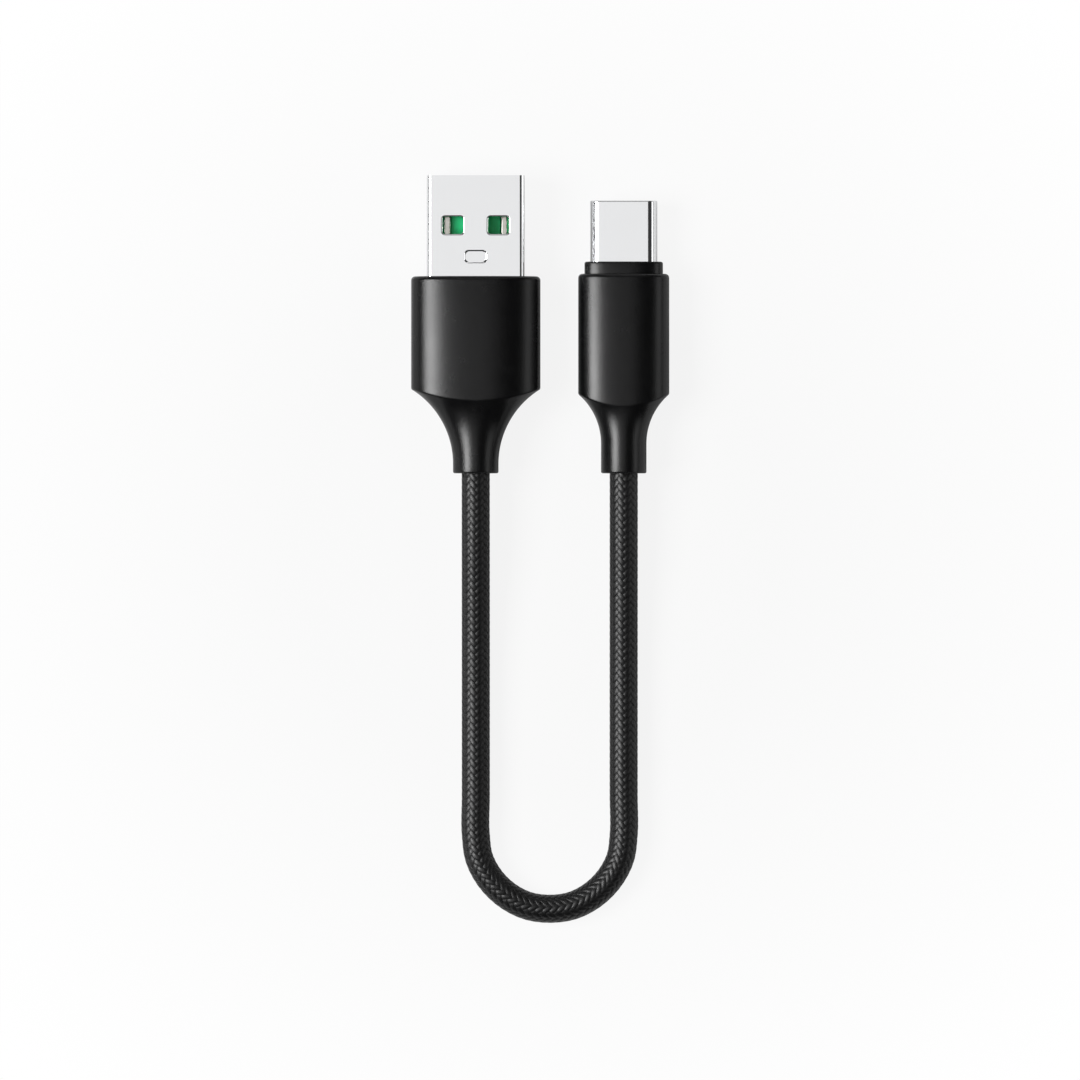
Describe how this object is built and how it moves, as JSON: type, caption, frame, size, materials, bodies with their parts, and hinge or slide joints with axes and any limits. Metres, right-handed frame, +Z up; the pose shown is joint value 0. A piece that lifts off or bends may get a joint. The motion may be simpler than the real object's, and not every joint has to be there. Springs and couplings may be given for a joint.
{
  "type": "charging cable",
  "caption": "Short braided charging cable in a narrow U, with a flat steel-shelled host plug on one end and an oval reversible plug on the other.",
  "frame": {"origin": "bottom centre of the box round the two plugs, which lie flat side by side", "axes": "+Y along both plugs towards their tips, +Z up off the surface the cable lies on, +X from the host plug to the reversible plug"},
  "size_m": [0.0318, 0.0918, 0.0078],
  "materials": {
    "grip_plastic": "satin black moulded grip",
    "collar_plastic": "matt black inner mould",
    "mould_plastic": "milky inner mould",
    "shell_steel": "bright nickel-plated steel",
    "tongue_plastic": "green moulded tongue",
    "insulator_plastic": "black moulded insulator",
    "contact_gold": "gold-plated contact",
    "spring_steel": "stamped stainless spring",
    "tinned_steel": "tinned steel sheet",
    "board_laminate": "green solder mask",
    "resistor_black": "black chip with tinned ends",
    "braid_fabric": "black nylon braid",
    "jacket_rubber": "black flexible jacket",
    "wire_red": "red insulation",
    "wire_black": "black insulation",
    "wire_white": "white insulation",
    "wire_green": "green insulation",
    "wire_copper": "bare copper strands"
  },
  "bodies": {
    "cable": {"host_housing": "grip_plastic", "host_inner_mould": "mould_plastic", "host_shell": "shell_steel", "host_insulator": "tongue_plastic", "host_supply_contact": "contact_gold", "host_data_minus_contact": "contact_gold", "host_data_plus_contact": "contact_gold", "host_ground_contact": "contact_gold", "host_crimp_ring": "tinned_steel", "reversible_housing": "grip_plastic", "reversible_inner_mould": "collar_plastic", "reversible_shell": "shell_steel", "reversible_insulator": "insulator_plastic", "upper_contacts": "contact_gold", "lower_contacts": "contact_gold", "latch_plate": "spring_steel", "upper_ground_spring": "spring_steel", "lower_ground_spring": "spring_steel", "circuit_board": "board_laminate", "pull_up_resistor": "resistor_black", "upper_rear_shield": "tinned_steel", "lower_rear_shield": "tinned_steel", "reversible_crimp_ring": "tinned_steel", "braided_sleeve": "braid_fabric", "cord_jacket": "jacket_rubber", "red_wire": "wire_red", "black_wire": "wire_black", "white_wire": "wire_white", "green_wire": "wire_green", "red_wire_copper": "wire_copper", "black_wire_copper": "wire_copper", "white_wire_copper": "wire_copper", "green_wire_copper": "wire_copper"},
    "left_latch": {"left_latch_arm": "spring_steel"},
    "right_latch": {"right_latch_arm": "spring_steel"}
  },
  "joints": [
    {"name": "left_latch_bend", "type": "hinge", "parent": "cable", "child": "left_latch", "pos_m": [0.00668, 0.00943, 0.00325], "axis": [0, 0, 1], "range_deg": [0, 1.5], "stiffness_Nm_per_rad": 0.2},
    {"name": "right_latch_bend", "type": "hinge", "parent": "cable", "child": "right_latch", "pos_m": [0.01392, 0.00943, 0.00325], "axis": [0, 0, -1], "range_deg": [0, 1.5], "stiffness_Nm_per_rad": 0.2}
  ]
}
